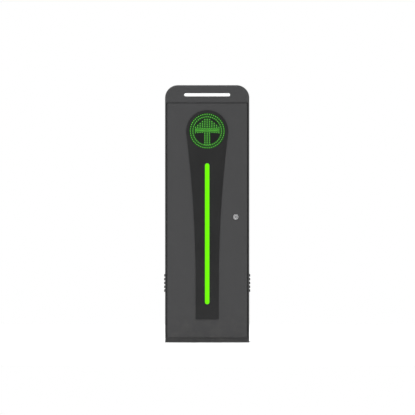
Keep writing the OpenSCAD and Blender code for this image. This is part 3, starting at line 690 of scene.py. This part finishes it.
class BARRIER_OT_stage(bpy.types.Operator):
    """Adds the floor, the soft lights and the camera in front of the cabinet"""

    bl_idname = "barrier.stage"
    bl_label = "Stage"

    SENSOR = 36.0
    CAMERA_X = 1.25 * MM
    CAMERA_Z = 0.5294
    FARTHEST = 200.0
    AIM = Vector((0, 0, 0.5))
    # Name, place, size, and power as a share of the key or the overhead light's
    LAMPS = (("Front Softbox", (-1.2, -3.6, 2.3), 3.2, "key", 1.0),
             ("Right Softbox", (3.4, -1.2, 1.7), 2.6, "key", 0.4),
             ("Rear Softbox", (-1.5, 3.4, 2.6), 3.0, "key", 0.9),
             ("Overhead Softbox", (0, -0.2, 3.6), 4.0, "overhead", 1.0))

    def execute(self, context):
        settings = context.scene.stage_settings
        self.camera(context.scene, settings)
        self.floor(settings)
        self.world(context.scene)
        for name, place, size, source, share in self.LAMPS:
            self.light(name, place, size, getattr(settings, source) * share)
        context.scene.view_settings.view_transform = "Standard"
        return {"FINISHED"}

    def camera(self, scene, settings):
        """A long lens, as far back as it takes to see the frame's width at the door."""
        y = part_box("front_door")[0].y - settings.lens / self.SENSOR * settings.frame_width
        bpy.ops.object.camera_add(location=(self.CAMERA_X, y, self.CAMERA_Z), rotation=(QUARTER_TURN, 0, 0))
        camera = bpy.context.object
        camera.data.lens = settings.lens
        camera.data.sensor_width = self.SENSOR
        camera.data.clip_end = self.FARTHEST
        scene.camera = camera

    def floor(self, settings):
        bpy.ops.mesh.primitive_circle_add(vertices=96, radius=settings.floor, fill_type="NGON")
        floor = bpy.context.object
        floor.name = "studio_floor"
        material, tree, shader, place = start("Pale Floor")
        skin = group_node(tree, "Coat Grain", place, Scale=260.0)
        tree.links.new(mix(tree, skin["Tone"], (0.90, 0.90, 0.90), (0.93, 0.93, 0.93)), shader["Base Color"])
        shader["Roughness"].default_value = 0.9
        floor.data.materials.append(material)

    def world(self, scene):
        """White to the camera; as a light, dim near the ground and full above."""
        world = bpy.data.worlds.new("Studio White")
        world.use_nodes = True
        tree = world.node_tree
        tree.nodes["Background"].inputs["Color"].default_value = (1, 1, 1, 1)
        split = tree.nodes.new("ShaderNodeSeparateXYZ")
        tree.links.new(tree.nodes.new("ShaderNodeTexCoord").outputs["Generated"], split.inputs[0])
        ground, zenith, dim, full = -0.1, 0.9, 0.13, 1.0
        sky = ramp(tree, split.outputs["Z"], ground, zenith, dim, full)
        seen = tree.nodes.new("ShaderNodeLightPath").outputs["Is Camera Ray"]
        tree.links.new(math_node(tree, "MAXIMUM", seen, sky), tree.nodes["Background"].inputs["Strength"])
        scene.world = world

    def light(self, name, place, size, power):
        bpy.ops.object.light_add(type="AREA", location=place)
        lamp = bpy.context.object
        lamp.name = name
        lamp.data.size = size
        lamp.data.energy = power
        lamp.rotation_euler = (self.AIM - Vector(place)).to_track_quat("-Z", "Y").to_euler()


class BARRIER_OT_cabinet(bpy.types.Operator):
    """Builds the base, the folded shell with its vents, and the seals"""

    bl_idname = "barrier.cabinet"
    bl_label = "Cabinet shell"

    def execute(self, context):
        edge = context.scene.cabinet_finish.edge
        shell = refined("cabinet_shell", edge, "folded_shell", 1, CORNER)
        placed(shell, "cabinet_shell", finish_of(powder_coat))
        place_all((("base_frame", "welded_base", edge * 2, 2, powder_coat),
                   ("cover_seal", "cover_seal_strip", edge * 0.6, 2, rubber),
                   ("door_gasket", "bulb_seal", 1.5 * MM, 4, rubber),
                   ("shaft_seal", "shaft_seal_ring", edge, 2, rubber),
                   ("gland_plate", "gland_sheet", edge, 2, zinc),
                   ("cable_grommets", "grommets", edge * 2, 2, rubber),
                   ("cover_screws", "cover_bolts", edge, 2, plated)))
        return {"FINISHED"}


class BARRIER_OT_cover(bpy.types.Operator):
    """Builds the rounded top cover and its blank badge"""

    bl_idname = "barrier.cover"
    bl_label = "Top cover"

    def execute(self, context):
        finish = context.scene.cabinet_finish
        cover = welded("top_cover", "rounded_cover")
        low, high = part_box("top_cover")
        rim = 2.5 * MM
        near = 10 * WELD

        def outer_rim(edge):
            """Whether an edge lies in the front or rear face and isn't along that face's foot."""
            ends = [v.co for v in edge.verts]
            for y in (low.y, high.y):
                if all(abs(p.y - y) < near for p in ends):
                    return sum(p.z for p in ends) / 2 > low.z + rim or abs(ends[0].z - ends[1].z) > rim
            return False

        pick_edges(cover, outer_rim)
        bpy.ops.mesh.bevel(offset=finish.cover_edge, segments=5, clamp_overlap=True)
        leave()
        placed(bevelled(cover, finish.edge, angle=60), "top_cover", finish_of(powder_coat))
        place_all((("blank_badge", "blank_strip", 0.4 * MM, 3, badge_white),))
        return {"FINISHED"}


class BARRIER_OT_door(bpy.types.Operator):
    """Builds the door tray, its ribs and its hinges"""

    bl_idname = "barrier.door"
    bl_label = "Door"

    def execute(self, context):
        edge = context.scene.cabinet_finish.edge
        tray = refined("front_door", 0.8 * MM, "door_tray", 3, CORNER)
        placed(tray, "front_door", finish_of(powder_coat))
        place_all((("door_ribs", "hat_ribs", edge, 2, powder_coat),
                   ("hinge_frame_leaves", "frame_knuckles", edge, 2, plated),
                   ("hinge_door_leaves", "door_knuckles", edge, 2, plated),
                   ("hinge_pins", "hinge_pin_pair", 0.8 * MM, 3, ground_steel)))
        return {"FINISHED"}


class BARRIER_OT_front_panel(bpy.types.Operator):
    """Builds the keyhole-shaped panel and the light bar in it"""

    bl_idname = "barrier.front_panel"
    bl_label = "Front panel and light bar"

    def execute(self, context):
        panel = refined("fascia_panel", 0.7 * MM, "keyhole_panel", 3, CORNER)
        placed(panel, "fascia_panel", finish_of(panel_gloss))
        bar = refined("light_diffuser", 1.6 * MM, "bar_diffuser", 5, CORNER)
        placed(bar, "light_diffuser", finish_of(bar_light))
        place_all((("light_channel", "bar_channel", 0.5 * MM, 2, plated),))
        return {"FINISHED"}


class BARRIER_OT_sign(bpy.types.Operator):
    """Builds the sign: its mask, two rings of light points and the arrow"""

    bl_idname = "barrier.sign"
    bl_label = "Lane sign"

    # In millimetres from the sign's centre
    RINGS = (66.0, 56.0)
    APEX = 52.0
    SHOULDER = 20.0
    HALF_HEAD = 46.0
    HEAD_FOOT = -3.0
    STEM_FOOT = -52.0
    # Millimetres between columns and rows, columns on each side of the middle one, and in-between rows
    COLUMN = 9.2
    ROW = 7.0
    SIDE_COLUMNS = 5
    EXTRA_ROWS = 2
    # The head's foot drops by this much for each millimetre sideways
    FOOT_DROP = 0.08
    # The dome's depth as a share of its radius, and how far it sits in the mask
    DOME_DEPTH = 0.7
    SUNK = 0.3 * MM

    def execute(self, context):
        settings = context.scene.sign_settings
        placed(refined("sign_board", 0.6 * MM, "sign_mask", 3, CORNER), "sign_board", finish_of(sign_face))
        place_all((("sign_housing", "sign_can", 1.2 * MM, 3, black_plastic),))
        board = middle("sign_board")
        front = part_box("sign_board")[0].y
        places = [(board.x + x * MM, front, board.z + z * MM) for x, z in self.dots(settings)]
        dots = copies(self.dome(settings.dot_radius), places, "light_points")
        placed(smooth(dots, 60), "sign_leds", finish_of(dot_light))
        return {"FINISHED"}

    def dome(self, radius):
        """A lens dome facing the front, closed by a flat back that sits in the mask."""
        bpy.ops.mesh.primitive_uv_sphere_add(segments=12, ring_count=8, radius=radius,
                                             rotation=(QUARTER_TURN, 0, 0))
        dome = settle(bpy.context.object)
        dome.scale = (1, self.DOME_DEPTH, 1)
        settle(dome)
        edit(dome)
        bpy.ops.mesh.bisect(plane_co=(0, self.SUNK, 0), plane_no=(0, 1, 0), use_fill=True, clear_outer=True)
        leave()
        return dome

    def dots(self, settings):
        """Places of the light points across the face: the rings, the arrow's head and its stem."""
        made = []
        for count, radius in zip((settings.outer_ring, settings.inner_ring), self.RINGS):
            turns = [2 * math.pi * i / count for i in range(count)]
            made += [(radius * math.cos(a), radius * math.sin(a)) for a in turns]
        slope = (self.APEX - self.SHOULDER) / self.HALF_HEAD
        for k in range(-self.SIDE_COLUMNS, self.SIDE_COLUMNS + 1):
            x = k * self.COLUMN
            top = self.APEX - abs(x) * slope
            z = self.HEAD_FOOT - abs(x) * self.FOOT_DROP
            while z < top:
                made.append((x, z))
                z += self.ROW
            if k < self.SIDE_COLUMNS:
                between = x + self.COLUMN / 2
                made += [(between, self.HEAD_FOOT + self.ROW * (j + 0.5)) for j in range(self.EXTRA_ROWS)]
        rows = int((self.HEAD_FOOT - self.STEM_FOOT) / self.ROW)
        stem = (-self.COLUMN, 0, self.COLUMN)
        return made + [(x, self.HEAD_FOOT - self.ROW * (j + 1)) for x in stem for j in range(rows)]


class BARRIER_OT_lock(bpy.types.Operator):
    """Builds the cam lock in the door"""

    bl_idname = "barrier.lock"
    bl_label = "Lock"

    def execute(self, context):
        place_all((("lock_housing", "lock_ring", 0.6 * MM, 4, chrome),
                   ("lock_barrel", "key_barrel", 0.3 * MM, 3, lock_face),
                   ("lock_cam", "lock_tongue", 0.4 * MM, 2, plated)))
        return {"FINISHED"}


class BARRIER_OT_drive_frame(bpy.types.Operator):
    """Builds the uprights, the chassis, the bearings and the stops"""

    bl_idname = "barrier.drive_frame"
    bl_label = "Drive frame"

    def execute(self, context):
        place_all((("support_uprights", "uprights", 0.8 * MM, 2, zinc),
                   ("chassis", "welded_chassis", 0.8 * MM, 2, chassis_paint),
                   ("chassis_bolts", "chassis_screws", 0.5 * MM, 2, plated),
                   ("shaft_bearings", "bearing_housings", 1.5 * MM, 3, bearing_paint),
                   ("stop_buffers", "rubber_stops", 1.2 * MM, 3, rubber),
                   ("limit_sensors", "limit_switches", 0.4 * MM, 2, brass),
                   ("spring_bracket", "spring_shelf", 0.8 * MM, 2, chassis_paint),
                   ("spring_eye_bolts", "tension_bolts", 0.4 * MM, 2, plated)))
        return {"FINISHED"}


class BARRIER_OT_boom_drive(bpy.types.Operator):
    """Builds the shaft, lever, crank, rod and the other moving steel"""

    bl_idname = "barrier.boom_drive"
    bl_label = "Boom drive"

    def execute(self, context):
        place_all((("main_shaft", "boom_axle", 1.0 * MM, 2, ground_steel),
                   ("boom_flange", "boom_plate", 0.8 * MM, 2, ground_steel),
                   ("rod_pin", "upper_pin", 0.8 * MM, 2, ground_steel),
                   ("spring_crossbar", "spring_bar", 0.8 * MM, 2, ground_steel),
                   ("output_shaft", "gear_axle", 0.8 * MM, 2, ground_steel),
                   ("crank_pin", "lower_pin", 0.8 * MM, 2, ground_steel),
                   ("connecting_rod", "link_rod", 1.0 * MM, 2, ground_steel),
                   ("spring_shackles", "shackle_pair", 0.6 * MM, 2, ground_steel),
                   ("worm_shaft", "worm_axle", 0.6 * MM, 2, ground_steel),
                   ("boom_lever", "twin_arm_lever", 1.2 * MM, 3, lever_paint),
                   ("drive_crank", "crank_arm", 1.2 * MM, 3, lever_paint),
                   ("sensor_cam", "trip_disc", 0.4 * MM, 2, black_plastic),
                   ("worm_wheel", "bronze_wheel", 0.8 * MM, 2, bronze),
                   ("gearbox_case", "gearbox_casting", 2.0 * MM, 3, cast_alloy),
                   ("motor_case", "finned_motor", 0.7 * MM, 2, motor_paint),
                   ("hand_wheel", "red_hand_wheel", 2.0 * MM, 3, red_plastic)))
        return {"FINISHED"}


class BARRIER_OT_springs(bpy.types.Operator):
    """Winds the two balance springs with their end hooks"""

    bl_idname = "barrier.springs"
    bl_label = "Balance springs"

    # Radius of the coil's wire, its turns, and the radii of a hook and of its wire
    WIRE = 2.4 * MM
    TURNS = 34
    HOOK = 9.5 * MM
    HOOK_WIRE = 2.0 * MM

    def execute(self, context):
        low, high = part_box("balance_springs")
        radius = (high.x - low.x) / 2 - self.WIRE
        x = (low.x + high.x) / 2
        length = high.z - low.z
        reach = self.HOOK + self.HOOK_WIRE
        made = []
        for y in (low.y + radius + self.WIRE, high.y - radius - self.WIRE):
            made.append(self.coil(Vector((x, y, low.z)), length, radius))
            made += [self.hook((x, y, z)) for z in (low.z + reach, high.z - reach)]
        springs = smooth(join(made, "coil_springs"), 60)
        placed(springs, "balance_springs", finish_of(spring_steel))
        # The lever's pin drops from as far above the shaft as it ends up below it
        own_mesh(springs)
        return {"FINISHED"}

    def coil(self, foot, length, radius):
        """One coil, screwed up from a ring of wire."""
        margin = 2 * (self.HOOK - self.HOOK_WIRE)
        height = length - 2 * margin
        sides = 10
        bpy.ops.mesh.primitive_circle_add(vertices=sides, radius=self.WIRE, fill_type="NOTHING",
                                          location=(radius, 0, 0), rotation=(QUARTER_TURN, 0, 0))
        ring = settle(bpy.context.object)
        bpy.context.scene.cursor.location = (0, 0, 0)
        bpy.ops.object.origin_set(type="ORIGIN_CURSOR")
        screw = ring.modifiers.new("Coil", "SCREW")
        screw.screw_offset = height / self.TURNS
        screw.iterations = self.TURNS
        screw.steps = screw.render_steps = 20
        screw.use_normal_calculate = True
        apply_modifiers(ring)
        edit(ring)
        bpy.ops.mesh.remove_doubles(threshold=WELD)
        bpy.ops.mesh.select_all(action="DESELECT")
        bpy.ops.mesh.select_non_manifold(extend=False)
        bpy.ops.mesh.fill_holes(sides=sides + 2)
        bpy.ops.mesh.select_all(action="SELECT")
        bpy.ops.mesh.normals_make_consistent(inside=False)
        leave()
        ring.location = foot + Vector((0, 0, margin))
        return settle(ring)

    def hook(self, place):
        """The round eye at an end of a coil."""
        bpy.ops.mesh.primitive_torus_add(location=place, rotation=(0, QUARTER_TURN, 0),
                                         major_radius=self.HOOK, minor_radius=self.HOOK_WIRE,
                                         major_segments=32, minor_segments=10)
        return settle(bpy.context.object)


class BARRIER_OT_electrics(bpy.types.Operator):
    """Builds the controller, power supply, rail and devices"""

    bl_idname = "barrier.electrics"
    bl_label = "Electrics"

    # Every size below is in millimetres. The window's lower left and upper right corner, from the lower
    # left corner of the controller's case, and how far its front and back lie behind the case's face
    WINDOW = ((25, 53), (83, 79))
    WINDOW_BEHIND = (0.4, 1.9)
    # Plug-in terminals: how many, how far apart, how wide as a share of that, and from where
    PLUGS = 13
    PLUG_PITCH = 9.5
    PLUG_WIDTH = 0.94
    PLUG_START = 8
    # How far they stand before and behind the face, and how far below its top they end and start
    PLUG_BEFORE, PLUG_BEHIND = 3, 2
    PLUG_FOOT, PLUG_TOP = 14, 3
    # Screw heads: radius and depth
    PLUG_SCREW = (2.2, 0.8)
    CASE_SCREW = (3, 1.6)
    RAIL_SCREW = (2.1, 1.0)
    BREAKER_SCREW = (3, 1.0)
    # How far heads stand out: the plugs', the case's, and those on the rail
    PLUG_PROUD, CASE_PROUD, RAIL_PROUD = 0.1, 0.5, 0.2
    # The case's screws, from its sides, its foot and its top
    CASE_SIDE, CASE_FOOT, CASE_TOP = 7, 7, 22
    # The terminals on the rail: how many, how far apart, the first screw, and its distance from foot and top
    RAIL_COUNT = 12
    RAIL_PITCH = 8.0
    RAIL_START = 3.7
    RAIL_END = 9
    # The breaker's screws, from its sides and ends, and how far its shoulder lies behind its front
    BREAKER_SIDE, BREAKER_END = 9, 10
    BREAKER_SHOULDER = 19

    def execute(self, context):
        place_all((("mounting_plate", "back_sheet", 0.5 * MM, 3, zinc),
                   ("din_rail", "hat_rail", 0.3 * MM, 3, plated),
                   ("circuit_breaker", "breaker_body", 0.8 * MM, 3, pale_plastic),
                   ("terminal_row", "rail_terminals", 0.6 * MM, 3, pale_plastic),
                   ("breaker_toggle", "toggle_lever", 0.8 * MM, 3, black_plastic),
                   ("power_supply", "supply_box", 0.8 * MM, 3, zinc),
                   ("controller_case", "controller_box", 1.5 * MM, 3, black_plastic),
                   ("raise_button", "raise_cap", 1.2 * MM, 3, green_plastic),
                   ("stop_button", "stop_cap", 1.2 * MM, 3, red_plastic),
                   ("lower_button", "lower_cap", 1.2 * MM, 3, yellow_plastic)))
        self.controller_details()
        self.rail_details()
        return {"FINISHED"}

    def screws(self, places, size):
        """A head at each place. The places are in metres, and a head's radius and depth in millimetres."""
        radius, depth = size
        return [disc(place, radius * MM, depth * MM) for place in places]

    def controller_details(self):
        """The window, plug-in terminals and cover screws on the controller."""
        low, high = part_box("controller_case")
        face = low.y
        corners = [(low.x + x * MM, face + y * MM, low.z + z * MM)
                   for (x, z), y in zip(self.WINDOW, self.WINDOW_BEHIND)]
        window = slab(*corners)
        window.name = "display_window"
        placed(window, "controller_case", finish_of(window_dark), replaces=False)

        pitch = self.PLUG_PITCH * MM
        start = low.x + self.PLUG_START * MM
        front, back = face - self.PLUG_BEFORE * MM, face + self.PLUG_BEHIND * MM
        foot, top = high.z - self.PLUG_FOOT * MM, high.z - self.PLUG_TOP * MM
        wide = self.PLUG_WIDTH * pitch
        lefts = [start + i * pitch for i in range(self.PLUGS)]
        blocks = [slab((left, front, foot), (left + wide, back, top), 0.6 * MM) for left in lefts]
        placed(join(blocks, "plug_terminals"), "controller_case", finish_of(terminal_green), replaces=False)

        middles = [(left + wide / 2, front - self.PLUG_PROUD * MM, (foot + top) / 2) for left in lefts]
        side = self.CASE_SIDE * MM
        cover = [(x, face - self.CASE_PROUD * MM, z) for x in (low.x + side, high.x - side)
                 for z in (low.z + self.CASE_FOOT * MM, high.z - self.CASE_TOP * MM)]
        heads = self.screws(middles, self.PLUG_SCREW) + self.screws(cover, self.CASE_SCREW)
        placed(join(heads, "controller_screws"), "controller_case", finish_of(plated), replaces=False)

    def rail_details(self):
        """Clamp screws on the rail terminals and the breaker."""
        low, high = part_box("terminal_row")
        start, step = low.x + self.RAIL_START * MM, self.RAIL_PITCH * MM
        proud, inset = self.RAIL_PROUD * MM, self.RAIL_END * MM
        clamps = [(start + i * step, low.y - proud, z) for i in range(self.RAIL_COUNT)
                  for z in (low.z + inset, high.z - inset)]
        low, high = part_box("circuit_breaker")
        shoulder = low.y + self.BREAKER_SHOULDER * MM
        side, end = self.BREAKER_SIDE * MM, self.BREAKER_END * MM
        ends = [(x, shoulder - proud, z) for x in (low.x + side, high.x - side)
                for z in (low.z + end, high.z - end)]
        heads = self.screws(clamps, self.RAIL_SCREW) + self.screws(ends, self.BREAKER_SCREW)
        placed(join(heads, "clamp_screws"), "terminal_row", finish_of(plated), replaces=False)


class BARRIER_PT_panel(bpy.types.Panel):
    """The cabinet's settings and its build steps"""

    bl_label = "Barrier Cabinet"
    bl_idname = "BARRIER_PT_panel"
    bl_space_type = "VIEW_3D"
    bl_region_type = "UI"
    bl_category = "Barrier Cabinet"

    def draw(self, context):
        for settings in GROUPS:
            group = getattr(context.scene, settings)
            box = self.layout.box()
            for name in group.__annotations__:
                box.prop(group, name)
        for step in STEPS:
            self.layout.operator(step.bl_idname)


STEPS = (BARRIER_OT_stage, BARRIER_OT_cabinet, BARRIER_OT_cover, BARRIER_OT_door, BARRIER_OT_front_panel,
         BARRIER_OT_sign, BARRIER_OT_lock, BARRIER_OT_drive_frame, BARRIER_OT_boom_drive, BARRIER_OT_springs,
         BARRIER_OT_electrics)
GROUPS = {"cabinet_finish": CabinetFinish, "sign_settings": SignSettings, "stage_settings": StageSettings}


def register():
    for name, group in GROUPS.items():
        bpy.utils.register_class(group)
        setattr(bpy.types.Scene, name, PointerProperty(type=group))
    for step in STEPS:
        bpy.utils.register_class(step)
    bpy.utils.register_class(BARRIER_PT_panel)


def unregister():
    bpy.utils.unregister_class(BARRIER_PT_panel)
    for step in reversed(STEPS):
        bpy.utils.unregister_class(step)
    for name, group in GROUPS.items():
        delattr(bpy.types.Scene, name)
        bpy.utils.unregister_class(group)


def main():
    """Runs every step."""
    register()
    for step in STEPS:
        getattr(bpy.ops.barrier, step.bl_idname.split(".")[1])()


if __name__ == "__main__":
    main()
